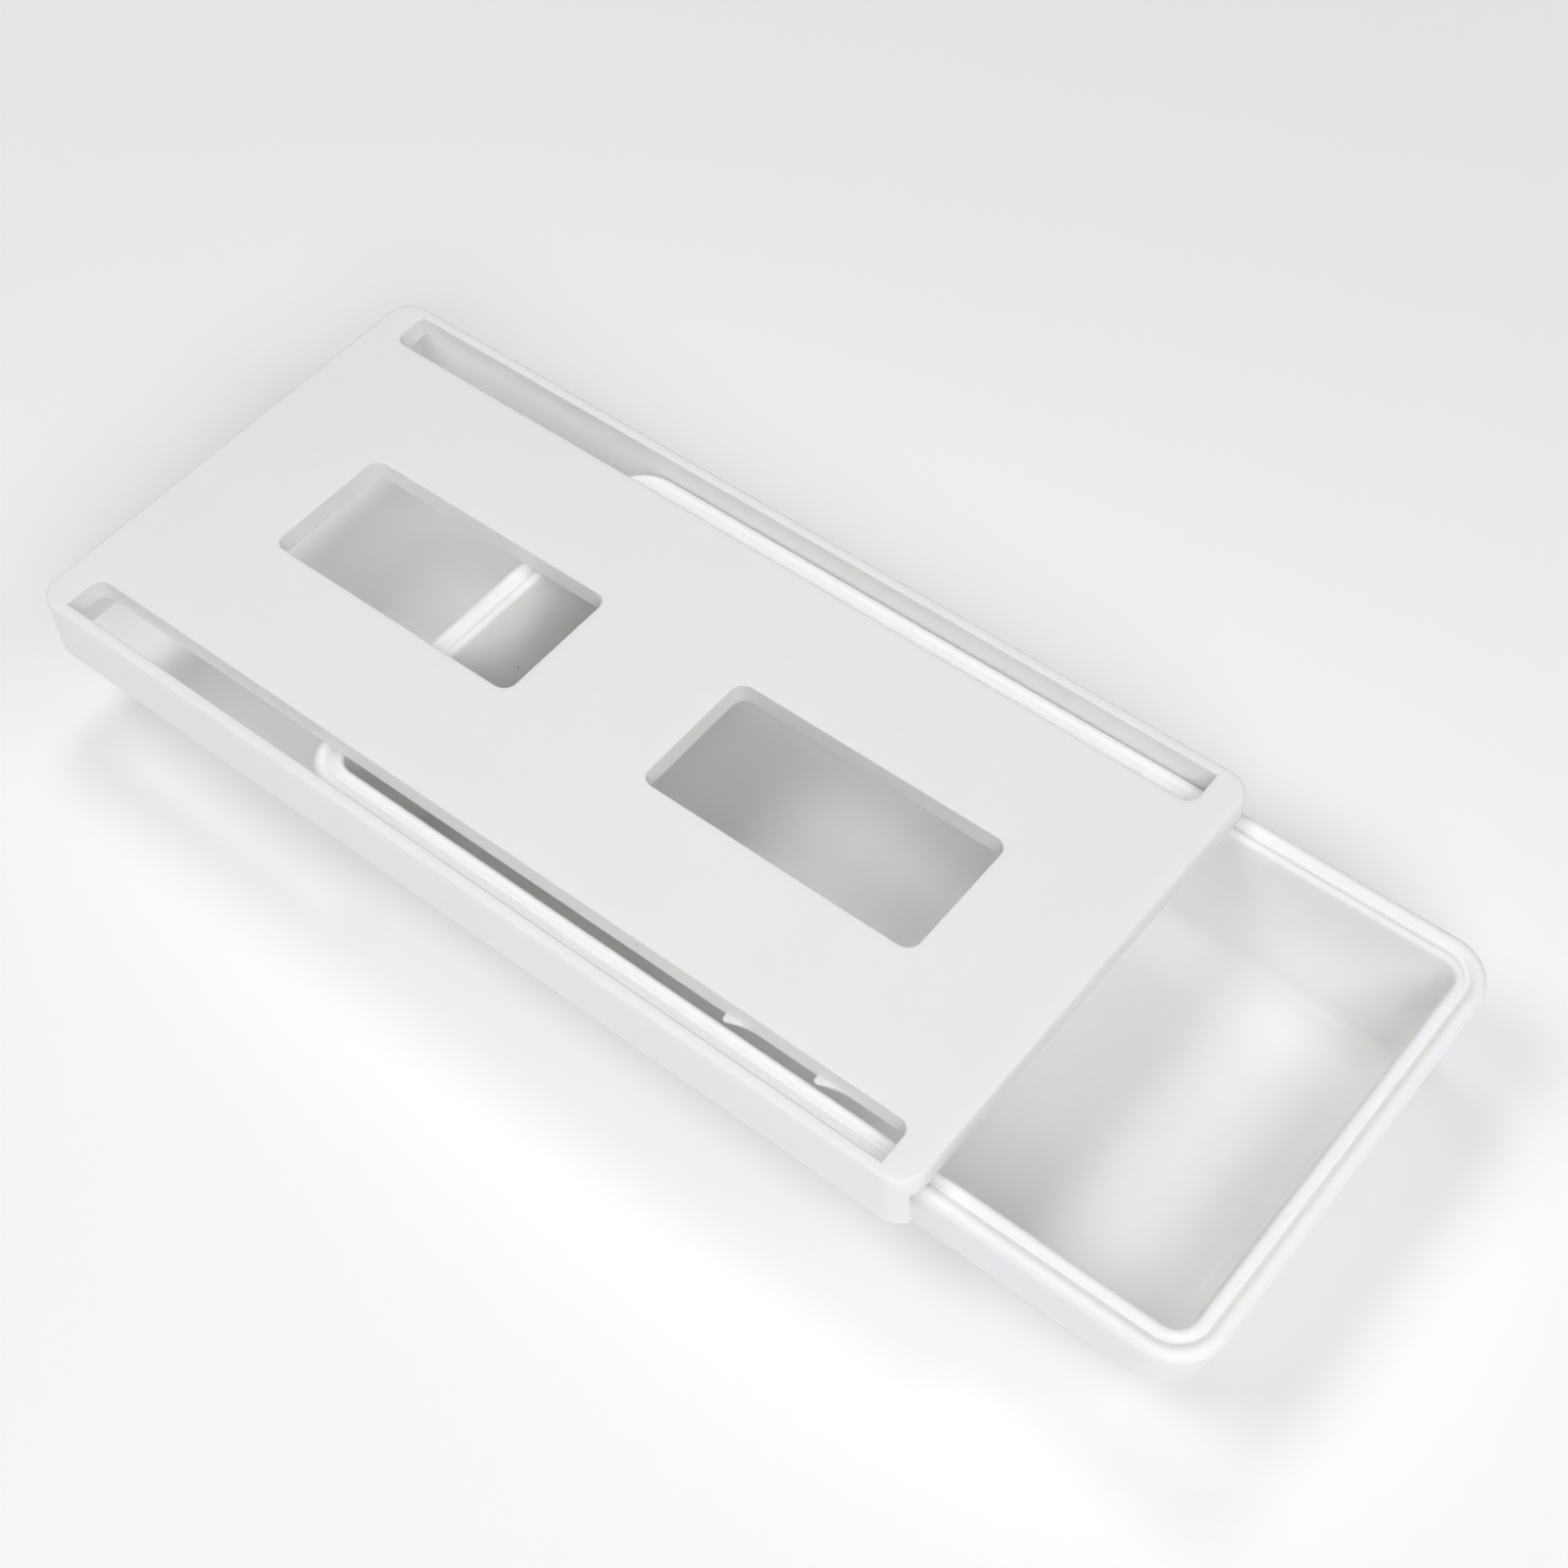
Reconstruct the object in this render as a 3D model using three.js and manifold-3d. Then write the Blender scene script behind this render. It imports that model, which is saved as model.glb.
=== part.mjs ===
// Two-piece counting tray: a deep drawer-like tray with a rolled rim, and a flat
// slotted cover that rests on the rim and slides along it.
// Millimetres, +Z up, +X is the end where the tray comes out of the cover.

import * as THREE from 'three';
import { mergeVertices } from 'three/addons/utils/BufferGeometryUtils.js';
import Module from 'manifold-3d';

// ---- driving dimensions -------------------------------------------------------
const TRAY_LENGTH = 226.4;
const TRAY_WIDTH = 111.4;
const TRAY_HEIGHT = 32.8;
const TRAY_CORNER_R = 11;
const BEAD_R = 1.7;             // rounded outer bead of the rim
const GROOVE_DEPTH = 1.1;       // narrow groove between the bead and the inner ridge
const RIDGE_INSET = 5.4;        // outer face of the bead to the crest of the ridge
const RIDGE_R = 1.25;
const RIDGE_DROP = 0.3;         // the ridge stands this much lower than the bead
const SKIRT_HEIGHT = 20;
const SKIRT_DRAFT_DEG = 9.3;    // lean of the skirt
const SKIRT_CORNER_R = 13;      // corner radius at the skirt's lower edge
const WALL_DRAFT_DEG = 11.3;    // lean of the cavity walls
const SHELL = 2.2;              // wall thickness of the tray
const FLOOR_FILLET = 4;
const INNER_CORNER_R = 4;       // smallest corner radius anywhere on the tray

const COVER_LENGTH = 240;
const COVER_WIDTH = 118.4;
const COVER_HEIGHT = 16.5;
const COVER_CORNER_R = 6;
const COVER_EDGE_R = 0.8;       // rounding of the upper outer edge
const PLATE = 5.6;              // thickness of the top plate
const WALL = 2.7;               // thickness of the three hanging walls
const CUT_TOP = 3.8;            // the side walls stop this far from the open end at the plate
const CUT_FOOT = 11;            // and this far from it at their lower edge

const WINDOW_LENGTH = 69.8;
const WINDOW_WIDTH = 32.6;
const WINDOW_CORNER_R = 3;
const WINDOW_BRIDGE = 37.6;     // plate left between the two windows
const SLOT_END = 7.9;           // plate left beyond each end of a slot
const SLOT_WIDTH = 9.5;
const SLOT_CORNER_R = 3;

const PULLED_OUT = 60.8;        // how far the tray stands out of the cover's open end
const SIDE_SHIFT = 0.5;         // the tray sits a little off-centre in its side play
const GAP = 0.3;                // cover plate above the rim

// ---- derived ------------------------------------------------------------------
const SKIRT_SLOPE = Math.tan(THREE.MathUtils.degToRad(SKIRT_DRAFT_DEG));
const WALL_SLOPE = Math.tan(THREE.MathUtils.degToRad(WALL_DRAFT_DEG));
const TOTAL_LENGTH = COVER_LENGTH + PULLED_OUT;
const COVER_Z = TRAY_HEIGHT + GAP + PLATE - COVER_HEIGHT;
const CORNER_STEPS = 10;

// ---- outline helpers ----------------------------------------------------------
// Points of a rounded rectangle, counter-clockwise, centred on the origin.
function roundedOutline(length, width, radius) {
  const points = [];
  const cx = length / 2 - radius;
  const cy = width / 2 - radius;
  const centres = [[cx, cy], [-cx, cy], [-cx, -cy], [cx, -cy]];
  centres.forEach(([x, y], quarter) => {
    for (let i = 0; i <= CORNER_STEPS; i += 1) {
      const a = (quarter + i / CORNER_STEPS) * Math.PI / 2;
      points.push([x + radius * Math.cos(a), y + radius * Math.sin(a)]);
    }
  });
  return points;
}

// Closed solid through a list of {inset, z} rings; both ends are capped flat.
// A ring's corner radius follows its inset unless the ring names one.
function ringLoft(length, width, cornerR, minR, rings) {
  const vertices = [];
  const faces = [];
  let count = 0;
  rings.forEach(({ inset, z, radius }) => {
    const corner = radius ?? Math.max(cornerR - inset, minR);
    const outline = roundedOutline(length - 2 * inset, width - 2 * inset, corner);
    count = outline.length;
    outline.forEach(([x, y]) => vertices.push(x, y, z));
  });
  for (let r = 0; r + 1 < rings.length; r += 1) {
    for (let i = 0; i < count; i += 1) {
      const a = r * count + i;
      const b = r * count + (i + 1) % count;
      faces.push(a, b, b + count, a, b + count, a + count);
    }
  }
  const last = (rings.length - 1) * count;
  for (let i = 1; i + 1 < count; i += 1) {
    faces.push(0, i + 1, i);
    faces.push(last, last + i, last + i + 1);
  }
  const geometry = new THREE.BufferGeometry();
  geometry.setAttribute('position', new THREE.Float32BufferAttribute(vertices, 3));
  geometry.setIndex(faces);
  return geometry;
}

// Rings along a quarter of a circle, from angle a0 to a1 (radians).
function arcRings(centreInset, centreZ, radius, a0, a1, steps) {
  const rings = [];
  for (let i = 0; i <= steps; i += 1) {
    const a = a0 + (a1 - a0) * i / steps;
    rings.push({ inset: centreInset + radius * Math.cos(a), z: centreZ + radius * Math.sin(a) });
  }
  return rings;
}

function extrude(points, z0, z1) {
  const shape = new THREE.Shape(points.map(([x, y]) => new THREE.Vector2(x, y)));
  const geometry = new THREE.ExtrudeGeometry(shape, { depth: z1 - z0, bevelEnabled: false });
  geometry.translate(0, 0, z0);
  return geometry;
}

// ---- manifold booleans --------------------------------------------------------
const wasm = await Module();
wasm.setup();

function toManifold(geometry) {
  const bare = geometry.clone();
  bare.deleteAttribute('normal');
  bare.deleteAttribute('uv');
  const merged = mergeVertices(bare, 1e-5);
  return new wasm.Manifold(new wasm.Mesh({
    numProp: 3,
    vertProperties: new Float32Array(merged.attributes.position.array),
    triVerts: new Uint32Array(merged.index.array),
  }));
}

function toGeometry(manifold) {
  const mesh = manifold.getMesh();
  const geometry = new THREE.BufferGeometry();
  const vertices = new THREE.Float32BufferAttribute(mesh.vertProperties, 3);
  geometry.setAttribute('position', vertices);
  geometry.setIndex(Array.from(mesh.triVerts));
  return geometry;
}

// ---- tray ---------------------------------------------------------------------
// One continuous shell: underside, skirt, bead, groove, ridge, cavity wall, floor.
function trayGeometry() {
  const top = TRAY_HEIGHT;
  const skirtZ = top - SKIRT_HEIGHT;
  const skirtLean = (SKIRT_HEIGHT - BEAD_R) * SKIRT_SLOPE;
  const ridgeZ = top - RIDGE_DROP - RIDGE_R;
  const wallRun = (z) => RIDGE_INSET + RIDGE_R + (ridgeZ - z) * WALL_SLOPE;
  const floorZ = SHELL;
  const underZ = top - BEAD_R - SHELL;
  const grooveInset = 2 * BEAD_R + 0.2;

  const rings = [
    // underside of the floor, up the outside of the tub
    { inset: wallRun(floorZ) + 3.4, z: 0 },
    { inset: wallRun(floorZ) + 0.6, z: 0 },
    { inset: wallRun(floorZ) - 1.1, z: 0.8 },
    { inset: wallRun(floorZ) - SHELL, z: 2.6 },
    { inset: wallRun(underZ) - SHELL, z: underZ - 1 },
    { inset: wallRun(underZ) - SHELL - 0.6, z: underZ },
    // under the rim and down the inside of the skirt
    { inset: SHELL + 0.8, z: underZ },
    { inset: SHELL, z: underZ - 1 },
    { inset: SHELL + skirtLean, z: skirtZ + 0.3, radius: SKIRT_CORNER_R - SHELL },
    { inset: SHELL + skirtLean - 0.3, z: skirtZ, radius: SKIRT_CORNER_R - SHELL + 0.3 },
    { inset: skirtLean + 0.3, z: skirtZ, radius: SKIRT_CORNER_R - 0.3 },
    { inset: skirtLean, z: skirtZ + 0.3, radius: SKIRT_CORNER_R },
    // outer bead
    ...arcRings(BEAD_R, top - BEAD_R, BEAD_R, Math.PI, Math.PI * 0.25, 7),
    // groove
    { inset: grooveInset, z: top - GROOVE_DEPTH },
    { inset: grooveInset + 0.5, z: top - GROOVE_DEPTH },
    // inner ridge, then the cavity wall
    ...arcRings(RIDGE_INSET, ridgeZ, RIDGE_R, Math.PI * 0.88, 0, 7),
    { inset: wallRun(floorZ + FLOOR_FILLET), z: floorZ + FLOOR_FILLET },
    ...arcRings(
      wallRun(floorZ + FLOOR_FILLET) + FLOOR_FILLET,
      floorZ + FLOOR_FILLET,
      FLOOR_FILLET,
      Math.PI * 1.1,
      Math.PI * 1.5,
      4,
    ),
  ];
  return ringLoft(TRAY_LENGTH, TRAY_WIDTH, TRAY_CORNER_R, INNER_CORNER_R, rings);
}

// ---- cover --------------------------------------------------------------------
// Outline of a slot whose outer side lies on the inner face of a side wall.
function slotOutline(side) {
  const half = COVER_LENGTH / 2 - SLOT_END;
  const outer = COVER_WIDTH / 2 - WALL;
  const inner = outer - SLOT_WIDTH;
  const points = [[half, outer], [-half, outer]];
  [[-half + SLOT_CORNER_R, Math.PI], [half - SLOT_CORNER_R, Math.PI * 1.5]].forEach(([x, start]) => {
    for (let i = 0; i <= CORNER_STEPS; i += 1) {
      const a = start + i / CORNER_STEPS * Math.PI / 2;
      const y = inner + SLOT_CORNER_R + SLOT_CORNER_R * Math.sin(a);
      points.push([x + SLOT_CORNER_R * Math.cos(a), y]);
    }
  });
  const placed = points.map(([x, y]) => [x, y * side]);
  return side > 0 ? placed : placed.reverse();
}

function coverGeometry() {
  const edge = arcRings(
    COVER_EDGE_R,
    COVER_HEIGHT - COVER_EDGE_R,
    COVER_EDGE_R,
    Math.PI,
    Math.PI * 0.5,
    4,
  );
  const sides = [{ inset: 0, z: 0 }, ...edge];
  const block = ringLoft(COVER_LENGTH, COVER_WIDTH, COVER_CORNER_R, 1, sides);

  // hollow below the plate, open at the +X end
  const hollow = roundedOutline(COVER_LENGTH + 20, COVER_WIDTH - 2 * WALL, COVER_CORNER_R - WALL)
    .map(([x, y]) => [x + 10 + WALL, y]);
  let solid = toManifold(block).subtract(toManifold(extrude(hollow, -5, COVER_HEIGHT - PLATE)));

  // the side walls are cut back slantwise at the open end
  const end = COVER_LENGTH / 2;
  const under = COVER_HEIGHT - PLATE;
  const lean = (CUT_FOOT - CUT_TOP) / under;
  const side = [
    [end - CUT_FOOT - 5 * lean, -5],
    [end + 5, -5],
    [end + 5, under],
    [end - CUT_TOP, under],
  ];
  const wedge = extrude(side, -COVER_WIDTH, COVER_WIDTH).rotateX(Math.PI / 2);
  solid = solid.subtract(toManifold(wedge));

  const windowX = (WINDOW_BRIDGE + WINDOW_LENGTH) / 2;
  [-windowX, windowX].forEach((x) => {
    const outline = roundedOutline(WINDOW_LENGTH, WINDOW_WIDTH, WINDOW_CORNER_R)
      .map(([px, py]) => [px + x, py]);
    solid = solid.subtract(toManifold(extrude(outline, 5, COVER_HEIGHT + 5)));
  });
  [-1, 1].forEach((side) => {
    solid = solid.subtract(toManifold(extrude(slotOutline(side), 5, COVER_HEIGHT + 5)));
  });
  return toGeometry(solid);
}

// ---- assembly -----------------------------------------------------------------
function plastic(color, roughness) {
  return new THREE.MeshStandardMaterial({ color, roughness, metalness: 0 });
}

function piece(name, geometry, material, x, y, z) {
  geometry.computeVertexNormals();
  const mesh = new THREE.Mesh(geometry, material);
  mesh.name = name;
  mesh.position.set(x, y, z);
  return mesh;
}

const assembly = new THREE.Group();
assembly.name = 'pill_counting_tray';

assembly.add(piece(
  'tray',
  trayGeometry(),
  plastic('#e4e3df', 0.32),
  (TOTAL_LENGTH - TRAY_LENGTH) / 2,
  SIDE_SHIFT,
  0,
));
assembly.add(piece(
  'slotted_cover',
  coverGeometry(),
  plastic('#e7e7ea', 0.45),
  (COVER_LENGTH - TOTAL_LENGTH) / 2,
  0,
  COVER_Z,
));

export default assembly;
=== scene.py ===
import math

import bmesh
import bpy
from mathutils import Matrix, Vector


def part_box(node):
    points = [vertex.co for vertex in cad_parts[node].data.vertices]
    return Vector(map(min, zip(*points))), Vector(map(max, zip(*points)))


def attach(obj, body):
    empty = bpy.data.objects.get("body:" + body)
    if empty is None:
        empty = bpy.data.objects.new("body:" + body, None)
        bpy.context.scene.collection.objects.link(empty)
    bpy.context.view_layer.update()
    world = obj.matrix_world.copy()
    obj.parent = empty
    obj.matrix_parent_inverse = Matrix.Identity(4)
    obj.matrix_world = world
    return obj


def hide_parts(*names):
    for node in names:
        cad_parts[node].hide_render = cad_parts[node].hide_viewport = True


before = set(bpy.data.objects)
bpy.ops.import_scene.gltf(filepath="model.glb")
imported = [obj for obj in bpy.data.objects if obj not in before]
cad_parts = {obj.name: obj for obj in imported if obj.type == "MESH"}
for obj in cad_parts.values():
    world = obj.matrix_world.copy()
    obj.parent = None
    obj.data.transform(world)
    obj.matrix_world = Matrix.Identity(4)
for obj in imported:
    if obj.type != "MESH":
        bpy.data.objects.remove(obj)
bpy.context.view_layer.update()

# A deep tray with a rolled rim, and a slotted cover that lies on the rim and
# slides along it. Two moulded pieces; each is rebuilt here with its full surface.

MM = 0.001
tray_low, tray_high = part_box("tray")
cover_low, cover_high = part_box("slotted_cover")

# ---- sizes in millimetres ------------------------------------------------------
TRAY_CORNER_R = 11
BEAD_R = 1.7               # rounded outer bead of the rim
GROOVE_DEPTH = 1.1         # narrow groove between the bead and the inner ridge
RIDGE_INSET = 5.4          # outer face of the bead to the crest of the ridge
RIDGE_R = 1.25
RIDGE_DROP = 0.3
SKIRT_HEIGHT = 20
SKIRT_DRAFT_DEG = 9.3
SKIRT_CORNER_R = 13        # the skirt's corners open out towards its lower edge
WALL_DRAFT_DEG = 11.3
SHELL = 2.2
FLOOR_FILLET = 4
INNER_CORNER_R = 4         # smallest corner radius anywhere on the tray
FOOT_R = 2.8               # rounding between the underside and the tub's wall
CHANNEL_R = 0.9            # upper corners of the channel between the tub and the skirt
SKIRT_EDGE_R = 0.6
GROOVE_R = 0.5
CAP_RING = 8               # a ring this wide surrounds each flat end of the skin

COVER_CORNER_R = 6
PLATE = 5.6
WALL = 2.7
CUT_TOP = 3.8              # the side walls stop this far from the open end at the plate
CUT_FOOT = 11              # and this far from it at their lower edge
WINDOW_LENGTH = 69.8
WINDOW_WIDTH = 32.6
WINDOW_CORNER_R = 3
WINDOW_BRIDGE = 37.6
SLOT_END = 7.9
SLOT_WIDTH = 9.5
SLOT_CORNER_R = 3

OUTER_EDGE_R = 0.8         # rounding of the cover's upper outer edge
OPENING_EDGE_R = 0.4       # rounding of the window and slot edges
LOWER_EDGE_R = 0.25
FLASH_X = (66.9, 89.6)     # moulding flash in the near slot, from the cover's middle
FLASH_LENGTH = 6.5
FLASH_REACH = 1.7
FLASH_CREST = 0.7          # from its steep end to its crest
FLASH_ROOT = 0.6           # how far it is sunk into the plate
FLASH_THICK = 0.8
FLASH_TAPER = 1.6          # the power by which it fades out

CUT_MARGIN = 3             # how far a cutter stands clear above and below
END_MARGIN = 5             # how far the wedge runs past the open end
HOLLOW_OVERRUN = 20        # how much longer than the cover its hollow is cut

CREASE = math.radians(30)
CORNER_STEPS = 18
FLASH_STEPS = 8
SIDE_STEPS = (44, 22)      # divisions of the long and of the short straight sides


# ---- mesh helpers ----------------------------------------------------------------
def rounded_outline(length, width, radius, steps=CORNER_STEPS, sides=(1, 1)):
    """Counter-clockwise points of a rounded rectangle centred on the origin."""
    cx, cy = length / 2 - radius, width / 2 - radius
    corners = [(cx, cy), (-cx, cy), (-cx, -cy), (cx, -cy)]
    points = []
    for quarter, (x, y) in enumerate(corners):
        for i in range(steps + 1):
            a = (quarter + i / steps) * math.pi / 2
            points.append((x + radius * math.cos(a), y + radius * math.sin(a)))
        nx, ny = corners[(quarter + 1) % 4]
        start = points[-1]
        end_angle = (quarter + 1) * math.pi / 2
        end = (nx + radius * math.cos(end_angle), ny + radius * math.sin(end_angle))
        count = sides[quarter % 2]
        for i in range(1, count):
            t = i / count
            points.append((
                start[0] + t * (end[0] - start[0]),
                start[1] + t * (end[1] - start[1]),
            ))
    return points


def mesh_object(name, vertices, faces):
    mesh = bpy.data.meshes.new(name)
    mesh.from_pydata([(x * MM, y * MM, z * MM) for x, y, z in vertices], [], faces)
    mesh.update()
    obj = bpy.data.objects.new(name, mesh)
    bpy.context.scene.collection.objects.link(obj)
    return obj


def arc(centre_inset, centre_z, radius, start, end, steps):
    """Profile points (inset, z) along an arc; angles in degrees, 180 is outward, 90 is up."""
    points = []
    for i in range(steps + 1):
        a = math.radians(start + (end - start) * i / steps)
        points.append((centre_inset + radius * math.cos(a), centre_z + radius * math.sin(a)))
    return points


def loft(name, rings):
    """Closed skin through (outline, z) rings of equal point counts, capped flat at both ends."""
    count = len(rings[0][0])
    vertices = [(x, y, z) for outline, z in rings for x, y in outline]
    faces = []
    for r in range(len(rings) - 1):
        for i in range(count):
            a, b = r * count + i, r * count + (i + 1) % count
            faces.append((a, b, b + count, a + count))
    faces.append(tuple(range(count - 1, -1, -1)))
    last = (len(rings) - 1) * count
    faces.append(tuple(range(last, last + count)))
    return mesh_object(name, vertices, faces)


def finish_normals(obj):
    """Smooth shading with flat faces kept flat, and sharp edges above the crease angle."""
    bm = bmesh.new()
    bm.from_mesh(obj.data)
    for face in bm.faces:
        face.smooth = True
    for edge in bm.edges:
        edge.smooth = len(edge.link_faces) == 2 and edge.calc_face_angle(0) < CREASE
    bm.to_mesh(obj.data)
    bm.free()
    weighted = obj.modifiers.new("normals", "WEIGHTED_NORMAL")
    weighted.weight = 100
    weighted.keep_sharp = True
    apply_modifiers(obj)


def apply_modifiers(obj):
    """Bakes the object's modifiers into its mesh."""
    graph = bpy.context.evaluated_depsgraph_get()
    made = bpy.data.meshes.new_from_object(obj.evaluated_get(graph))
    old = obj.data
    obj.modifiers.clear()
    obj.data = made
    made.name = obj.name
    bpy.data.meshes.remove(old)


def boolean(obj, others, operation):
    for other in others:
        modifier = obj.modifiers.new(other.name, "BOOLEAN")
        modifier.operation = operation
        modifier.solver = "EXACT"
        modifier.object = other
    apply_modifiers(obj)
    for other in others:
        bpy.data.objects.remove(other)


# ---- tray ------------------------------------------------------------------------
def tray_profile(height):
    """(inset, z, corner radius) rings: underside, skirt, bead, groove, ridge, wall, floor."""
    skirt_z = height - SKIRT_HEIGHT
    bead_z = height - BEAD_R
    ridge_z = height - RIDGE_DROP - RIDGE_R
    under_z = height - BEAD_R - SHELL
    lean = (bead_z - skirt_z) * math.tan(math.radians(SKIRT_DRAFT_DEG))
    slope = math.tan(math.radians(WALL_DRAFT_DEG))

    def wall(z):
        return RIDGE_INSET + RIDGE_R + (ridge_z - z) * slope

    def plain(points):
        return [(inset, z, max(TRAY_CORNER_R - inset, INNER_CORNER_R)) for inset, z in points]

    def skirt(points):
        rings = []
        for inset, z in points:
            down = min(max((bead_z - z) / (bead_z - skirt_z), 0), 1)
            opened = (SKIRT_CORNER_R - TRAY_CORNER_R + lean) * down
            rings.append((inset, z, TRAY_CORNER_R + opened - inset))
        return rings

    foot = wall(0) - SHELL + FOOT_R
    floor_c = wall(SHELL + FLOOR_FILLET) + FLOOR_FILLET
    return [
        *plain([
            (foot + CAP_RING, 0),
            (foot + 0.3, 0),
            *arc(foot, FOOT_R, FOOT_R, 270, 180 + WALL_DRAFT_DEG, 8),
            (wall(under_z - 6) - SHELL, under_z - 6),
            *arc(wall(under_z) - SHELL - CHANNEL_R, under_z - CHANNEL_R, CHANNEL_R, 0, 90, 5),
        ]),
        *skirt([
            *arc(SHELL + CHANNEL_R, under_z - CHANNEL_R, CHANNEL_R, 90, 180, 5),
            (SHELL + lean - 0.2, skirt_z + 1.2),
            *arc(SHELL + lean - 0.8, skirt_z + SKIRT_EDGE_R, SKIRT_EDGE_R, 0, -90, 4),
            *arc(
                lean + SKIRT_EDGE_R, skirt_z + SKIRT_EDGE_R, SKIRT_EDGE_R,
                270, 180 + SKIRT_DRAFT_DEG, 4,
            ),
            (lean * 0.75, skirt_z + (bead_z - skirt_z) * 0.25),
            (lean * 0.1, skirt_z + (bead_z - skirt_z) * 0.9),
        ]),
        *plain([
            *arc(BEAD_R, bead_z, BEAD_R, 185, 45, 14),
            *arc(2 * BEAD_R + 0.35, height - GROOVE_DEPTH + GROOVE_R, GROOVE_R, 215, 300, 6),
            *arc(RIDGE_INSET, ridge_z, RIDGE_R, 155, 0, 16),
            (wall(ridge_z - 1.5), ridge_z - 1.5),
            (wall(SHELL + FLOOR_FILLET + 1), SHELL + FLOOR_FILLET + 1),
            *arc(floor_c, SHELL + FLOOR_FILLET, FLOOR_FILLET, 180 + WALL_DRAFT_DEG, 270, 10),
            (floor_c + 0.6, SHELL),
            (floor_c + CAP_RING, SHELL),
        ]),
    ]


def build_tray():
    size = (tray_high - tray_low) / MM
    rings = []
    for inset, z, corner in tray_profile(size.z):
        outline = rounded_outline(
            size.x - 2 * inset, size.y - 2 * inset, corner, sides=SIDE_STEPS
        )
        rings.append((outline, z))
    obj = loft("tray_shell", rings)
    centre = (tray_low + tray_high) / 2
    obj.data.transform(Matrix.Translation((centre.x, centre.y, tray_low.z)))
    finish_normals(obj)
    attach(obj, "tray")
    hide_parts("tray")
    return obj


# ---- cover -----------------------------------------------------------------------
def slot_outline(length, width, side, grow, wall_grow):
    """A side slot whose outer side lies on the wall's inner face; its inner corners are round."""
    half = length / 2 - SLOT_END + grow
    outer = width / 2 - WALL + wall_grow
    inner = width / 2 - WALL - SLOT_WIDTH - grow
    radius = SLOT_CORNER_R + grow
    points = [(half, outer), (-half, outer)]
    for x, start in ((-half + radius, math.pi), (half - radius, 1.5 * math.pi)):
        for i in range(CORNER_STEPS + 1):
            a = start + i / CORNER_STEPS * math.pi / 2
            points.append((x + radius * math.cos(a), inner + radius + radius * math.sin(a)))
    placed = [(x, y * side) for x, y in points]
    return placed if side > 0 else placed[::-1]


def edge_fillet(radius, z, rising, steps=5):
    """(grow, z) pairs of an opening's rounded edge at height z, in the order of a rising cut."""
    pairs = []
    for i in range(steps + 1):
        a = math.pi / 2 * i / steps
        if rising:
            pairs.append((radius * (1 - math.cos(a)), z - radius + radius * math.sin(a)))
        else:
            pairs.append((radius * (1 - math.sin(a)), z + radius * (1 - math.cos(a))))
    return pairs


def end_wedge(length, width, under):
    """Cuts both side walls back slantwise at the open end, below the plate."""
    end = length / 2
    lean = (CUT_FOOT - CUT_TOP) / under
    side = [
        (end - CUT_FOOT - CUT_MARGIN * lean, -CUT_MARGIN),
        (end + END_MARGIN, -CUT_MARGIN),
        (end + END_MARGIN, under),
        (end - CUT_TOP, under),
    ]
    vertices = [(x, y, z) for y in (width, -width) for x, z in side]
    faces = [(0, 1, 2, 3), (7, 6, 5, 4)]
    faces += [(i, i + 4, (i + 1) % 4 + 4, (i + 1) % 4) for i in range(4)]
    return mesh_object("wedge", vertices, faces)


def flash(x, width, under):
    """A fin of moulding flash on the lower inner edge of the near slot, fading out towards +X."""
    edge = -width / 2 + WALL + SLOT_WIDTH
    outline = [(x, edge + FLASH_ROOT), (x + 0.1, edge - 0.8 * FLASH_REACH)]
    for i in range(FLASH_STEPS + 1):
        t = i / FLASH_STEPS
        reach = FLASH_REACH * (1 - t) ** FLASH_TAPER
        outline.append((x + FLASH_CREST + t * FLASH_LENGTH, edge - reach + 0.05))
    outline.append((x + FLASH_LENGTH + FLASH_CREST, edge + FLASH_ROOT))
    return loft("flash", [(outline, under), (outline, under + FLASH_THICK)])


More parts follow.
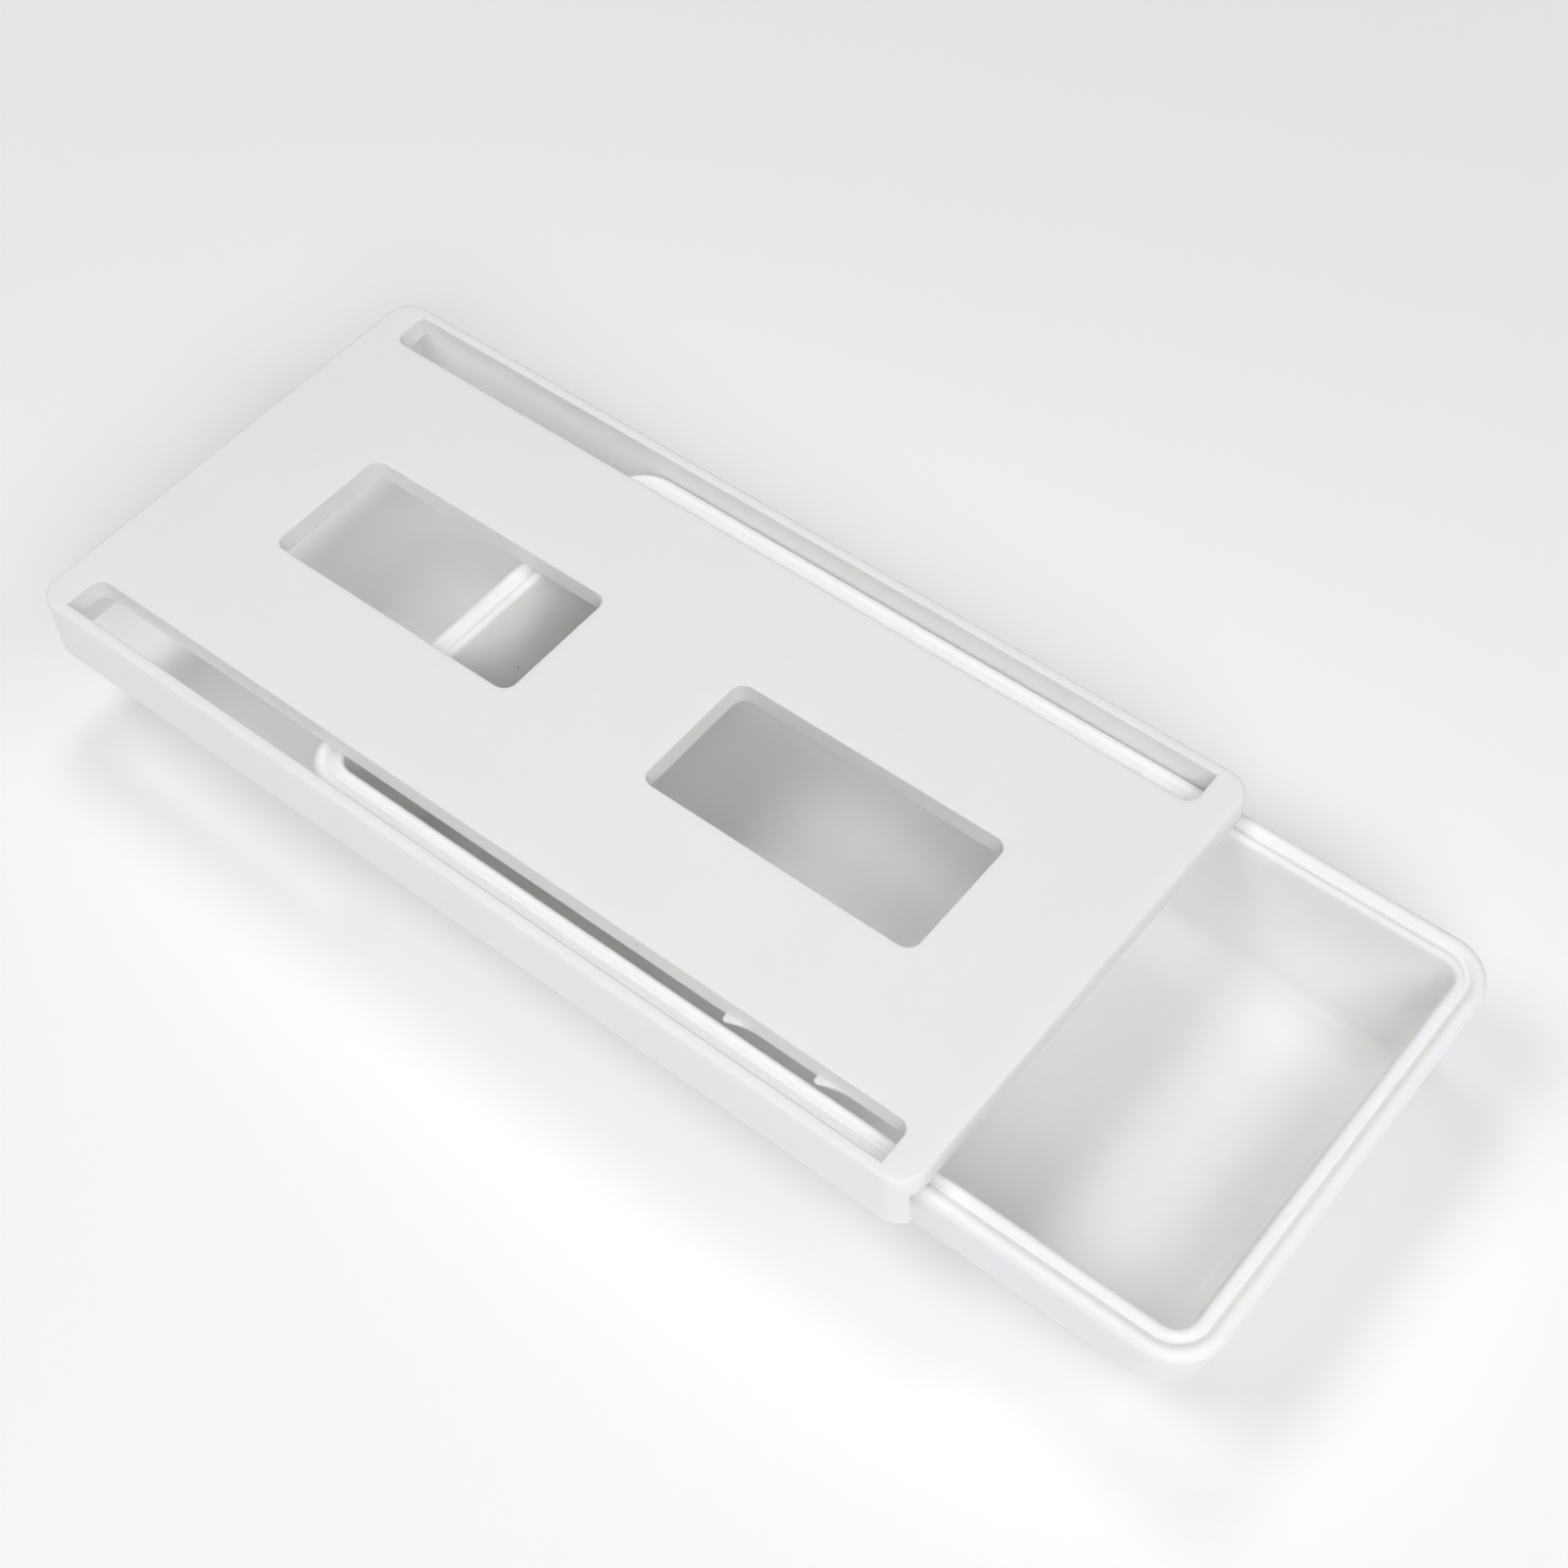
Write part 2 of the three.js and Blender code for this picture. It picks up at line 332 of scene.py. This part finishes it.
def build_cover():
    length, width, height = (cover_high - cover_low) / MM
    under = height - PLATE

    def block_ring(inset, z):
        radius = COVER_CORNER_R - inset
        return rounded_outline(length - 2 * inset, width - 2 * inset, radius), z

    lower_edge = reversed(edge_fillet(LOWER_EDGE_R, 0, True))
    foot = [(g, LOWER_EDGE_R - z) for g, z in lower_edge]
    crown = edge_fillet(OUTER_EDGE_R, height, True)
    obj = loft("cover_shell", [block_ring(g, z) for g, z in foot + crown])

    def hollow_ring(grow, z):
        radius = COVER_CORNER_R - WALL + grow
        outline = rounded_outline(
            length + HOLLOW_OVERRUN + 2 * grow, width - 2 * WALL + 2 * grow, radius
        )
        return [(x + HOLLOW_OVERRUN / 2 + WALL, y) for x, y in outline], z

    lower = edge_fillet(LOWER_EDGE_R, 0, False)
    hollow = [(LOWER_EDGE_R, -CUT_MARGIN), *lower, (0, under)]
    cutters = [loft("hollow", [hollow_ring(g, z) for g, z in hollow])]

    opening = [
        (LOWER_EDGE_R, under - CUT_MARGIN),
        *edge_fillet(LOWER_EDGE_R, under, False),
        *edge_fillet(OPENING_EDGE_R, height, True),
        (OPENING_EDGE_R, height + CUT_MARGIN),
    ]
    middle = (WINDOW_BRIDGE + WINDOW_LENGTH) / 2
    for x in (-middle, middle):
        rings = []
        for grow, z in opening:
            outline = rounded_outline(
                WINDOW_LENGTH + 2 * grow, WINDOW_WIDTH + 2 * grow, WINDOW_CORNER_R + grow
            )
            rings.append(([(px + x, py) for px, py in outline], z))
        cutters.append(loft("window", rings))
    for side in (-1, 1):
        rings = []
        for grow, z in opening:
            wall_grow = grow if z > height - PLATE / 2 else 0
            rings.append((slot_outline(length, width, side, grow, wall_grow), z))
        cutters.append(loft("slot", rings))
    cutters.append(end_wedge(length, width, under))
    boolean(obj, cutters, "DIFFERENCE")
    boolean(obj, [flash(x, width, under) for x in FLASH_X], "UNION")

    bm = bmesh.new()
    bm.from_mesh(obj.data)
    bmesh.ops.remove_doubles(bm, verts=bm.verts, dist=1e-6)
    bmesh.ops.triangulate(bm, faces=[f for f in bm.faces if len(f.verts) > 4])
    bm.to_mesh(obj.data)
    bm.free()
    finish_normals(obj)
    centre = (cover_low + cover_high) / 2
    obj.data.transform(Matrix.Translation((centre.x, centre.y, cover_low.z)))
    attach(obj, "cover")
    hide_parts("slotted_cover")
    return obj


# ---- materials -------------------------------------------------------------------
SPECK_COLOUR = (0.25, 0.22, 0.2)
SPECK_RADIUS = 0.03        # as a share of a cell
FLOOR_TONES = ((0.96, 0.96, 0.97), (0.97, 0.97, 0.98))


class Nodes:
    """Small helper for building a node tree."""

    def __init__(self, name):
        self.material = bpy.data.materials.new(name)
        self.material.use_nodes = True
        self.tree = self.material.node_tree
        self.tree.nodes.clear()

    def add(self, kind, **settings):
        node = self.tree.nodes.new(kind)
        inputs = settings.pop("inputs", {})
        for key, value in settings.items():
            setattr(node, key, value)
        for key, value in inputs.items():
            if isinstance(value, bpy.types.NodeSocket):
                self.tree.links.new(value, node.inputs[key])
            else:
                node.inputs[key].default_value = value
        return node


def plastic(name, colour, darker, roughness, translucency, speck_share):
    """Injection-moulded plastic: faint clouding, fine skin grain, a few embedded specks."""
    n = Nodes(name)
    place = n.add("ShaderNodeTexCoord").outputs["Object"]
    cloud = n.add("ShaderNodeTexNoise", inputs={
        "Vector": place, "Scale": 28.0, "Detail": 3.0, "Roughness": 0.5,
    })
    tone = n.add("ShaderNodeMix", data_type="RGBA", inputs={
        "Factor": cloud.outputs["Fac"], "A": (*colour, 1), "B": (*darker, 1),
    })
    cells = n.add("ShaderNodeTexVoronoi", inputs={"Vector": place, "Scale": 75.0})
    near = n.add("ShaderNodeMath", operation="LESS_THAN", inputs={
        0: cells.outputs["Distance"], 1: SPECK_RADIUS,
    })
    pick = n.add("ShaderNodeSeparateColor", inputs={"Color": cells.outputs["Color"]})
    chosen = n.add("ShaderNodeMath", operation="LESS_THAN", inputs={
        0: pick.outputs["Red"], 1: speck_share,
    })
    speck = n.add("ShaderNodeMath", operation="MULTIPLY", inputs={
        0: near.outputs[0], 1: chosen.outputs[0],
    })
    final = n.add("ShaderNodeMix", data_type="RGBA", inputs={
        "Factor": speck.outputs[0], "A": tone.outputs["Result"], "B": (*SPECK_COLOUR, 1),
    })
    smear = n.add("ShaderNodeTexNoise", inputs={
        "Vector": place, "Scale": 45.0, "Detail": 4.0, "Roughness": 0.6,
    })
    gloss = n.add("ShaderNodeMapRange", inputs={
        "Value": smear.outputs["Fac"], "From Min": 0.3, "From Max": 0.7,
        "To Min": roughness - 0.04, "To Max": roughness + 0.06,
    })
    grain = n.add("ShaderNodeTexNoise", inputs={
        "Vector": place, "Scale": 1600.0, "Detail": 2.0, "Roughness": 0.5,
    })
    skin = n.add("ShaderNodeBump", inputs={
        "Strength": 0.06, "Distance": 0.0001, "Height": grain.outputs["Fac"],
    })
    wave = n.add("ShaderNodeTexNoise", inputs={
        "Vector": place, "Scale": 22.0, "Detail": 1.0, "Roughness": 0.4,
    })
    bump = n.add("ShaderNodeBump", inputs={
        "Strength": 0.25, "Distance": 0.0006, "Height": wave.outputs["Fac"],
        "Normal": skin.outputs["Normal"],
    })
    shader = n.add("ShaderNodeBsdfPrincipled", inputs={
        "Base Color": final.outputs["Result"],
        "Roughness": gloss.outputs["Result"],
        "Normal": bump.outputs["Normal"],
        "IOR": 1.49,
        "Subsurface Weight": translucency,
        "Subsurface Radius": (1.0, 0.85, 0.6),
        "Subsurface Scale": 0.003,
    })
    n.add("ShaderNodeOutputMaterial", inputs={"Surface": shader.outputs["BSDF"]})
    return n.material


def floor_material():
    """Matt and pale; it glows with painted light, faintly near the object and more farther out,
    until it runs into the backdrop.
    """
    n = Nodes("pale_floor")
    place = n.add("ShaderNodeTexCoord").outputs["Object"]
    cloud = n.add("ShaderNodeTexNoise", inputs={"Vector": place, "Scale": 3.0, "Detail": 2.0})
    tone = n.add("ShaderNodeMix", data_type="RGBA", inputs={
        "Factor": cloud.outputs["Fac"],
        "A": (*FLOOR_TONES[0], 1), "B": (*FLOOR_TONES[1], 1),
    })
    distance = n.add("ShaderNodeVectorMath", operation="LENGTH", inputs={0: place})
    # painted light: the floor's emission rises with distance from the middle and stands in for
    # light on the far floor
    glow = n.add("ShaderNodeMapRange", interpolation_type="SMOOTHSTEP", inputs={
        "Value": distance.outputs["Value"],
        "From Min": GLOW_STARTS, "From Max": GLOW_FULL,
        "To Min": FLOOR_GLOW, "To Max": SKY_SEEN,
    })
    shader = n.add("ShaderNodeBsdfPrincipled", inputs={
        "Base Color": tone.outputs["Result"],
        "Roughness": 0.9,
        "Specular IOR Level": 0.0,
        "Emission Color": (*SKY, 1),
        "Emission Strength": glow.outputs["Result"],
    })
    n.add("ShaderNodeOutputMaterial", inputs={"Surface": shader.outputs["BSDF"]})
    return n.material


# ---- stage, lights, camera -------------------------------------------------------
FLOOR_SIZE = 4.0
FLOOR_Z = -0.15            # millimetres; just clear of the tray's underside
FLOOR_GLOW = 0.05          # painted glow near the object
GLOW_STARTS = 0.28         # metres from the middle; farther out the floor's painted glow makes it paler
GLOW_FULL = 1.3            # and from here on it runs into the backdrop
SKY = (0.98, 0.985, 1.0)
SKY_SEEN = 0.95            # the backdrop that a low camera sees
SKY_LIGHT = 0.07           # the light that it gives
LIGHT_TINT = (0.985, 0.985, 1.0)
SOFTBOXES = (              # name, place, diameter in metres, power in watts
    ("front_right", (0.8, -0.8, 1.0), 0.9, 9.6),
    ("front_left", (-0.5, -0.5, 1.2), 0.8, 5.6),
    ("right", (1.0, 0.1, 0.9), 0.9, 3.8),
    ("back_left", (-0.5, 0.45, 1.2), 0.5, 3.2),
    ("back_right", (0.45, 0.5, 1.2), 0.8, 0.8),
)

CAMERA_PLACE = (0.22525, -0.2440, 0.4697)
CAMERA_TARGET = (0.01282, 0.00054, 0.0387)
CAMERA_ROLL = math.radians(2.757)
SENSOR = 36.0
LENS = 60.3


def aim(obj, target, roll=0.0):
    """Points the object's -Z at the target, its top turned by roll to its right."""
    ahead = (Vector(target) - obj.location).normalized()
    right = ahead.cross(Vector((0, 0, 1))).normalized()
    up = right.cross(ahead)
    top = up * math.cos(roll) + right * math.sin(roll)
    side = ahead.cross(top)
    obj.rotation_euler = Matrix((side, top, -ahead)).transposed().to_euler()


def build_floor():
    half = FLOOR_SIZE / 2 / MM
    signs = ((-1, -1), (1, -1), (1, 1), (-1, 1))
    corners = [(half * x, half * y, FLOOR_Z) for x, y in signs]
    floor = mesh_object("floor", corners, [(0, 1, 2, 3)])
    floor.data.materials.append(floor_material())


def build_world():
    """A backdrop that looks pale from any angle and gives only a little light."""
    world = bpy.data.worlds.new("studio")
    bpy.context.scene.world = world
    world.use_nodes = True
    tree = world.node_tree
    lit = tree.nodes["Background"]
    seen = tree.nodes.new("ShaderNodeBackground")
    for background, strength in ((lit, SKY_LIGHT), (seen, SKY_SEEN)):
        background.inputs["Color"].default_value = (*SKY, 1)
        background.inputs["Strength"].default_value = strength
    path = tree.nodes.new("ShaderNodeLightPath")
    mix = tree.nodes.new("ShaderNodeMixShader")
    tree.links.new(path.outputs["Is Camera Ray"], mix.inputs[0])
    tree.links.new(lit.outputs[0], mix.inputs[1])
    tree.links.new(seen.outputs[0], mix.inputs[2])
    tree.links.new(mix.outputs[0], tree.nodes["World Output"].inputs["Surface"])


def build_softboxes():
    for name, place, diameter, power in SOFTBOXES:
        light = bpy.data.lights.new(name, "AREA")
        light.shape = "DISK"
        light.size = diameter
        light.energy = power
        light.color = LIGHT_TINT
        softbox = bpy.data.objects.new(name, light)
        softbox.location = place
        bpy.context.scene.collection.objects.link(softbox)
        aim(softbox, (0, 0, 0))


def build_camera():
    lens = bpy.data.cameras.new("camera")
    lens.sensor_width = SENSOR
    lens.lens = LENS
    camera = bpy.data.objects.new("camera", lens)
    camera.location = CAMERA_PLACE
    bpy.context.scene.collection.objects.link(camera)
    aim(camera, CAMERA_TARGET, CAMERA_ROLL)
    bpy.context.scene.camera = camera
    bpy.context.scene.view_settings.view_transform = "Standard"


tray = build_tray()
tray.data.materials.append(plastic(
    "tray_plastic", colour=(0.985, 0.98, 0.962), darker=(0.975, 0.968, 0.945),
    roughness=0.36, translucency=0.5, speck_share=0.03,
))
cover = build_cover()
cover.data.materials.append(plastic(
    "cover_plastic", colour=(0.92, 0.915, 0.91), darker=(0.905, 0.90, 0.895),
    roughness=0.44, translucency=0.4, speck_share=0.05,
))
build_floor()
build_world()
build_softboxes()
build_camera()
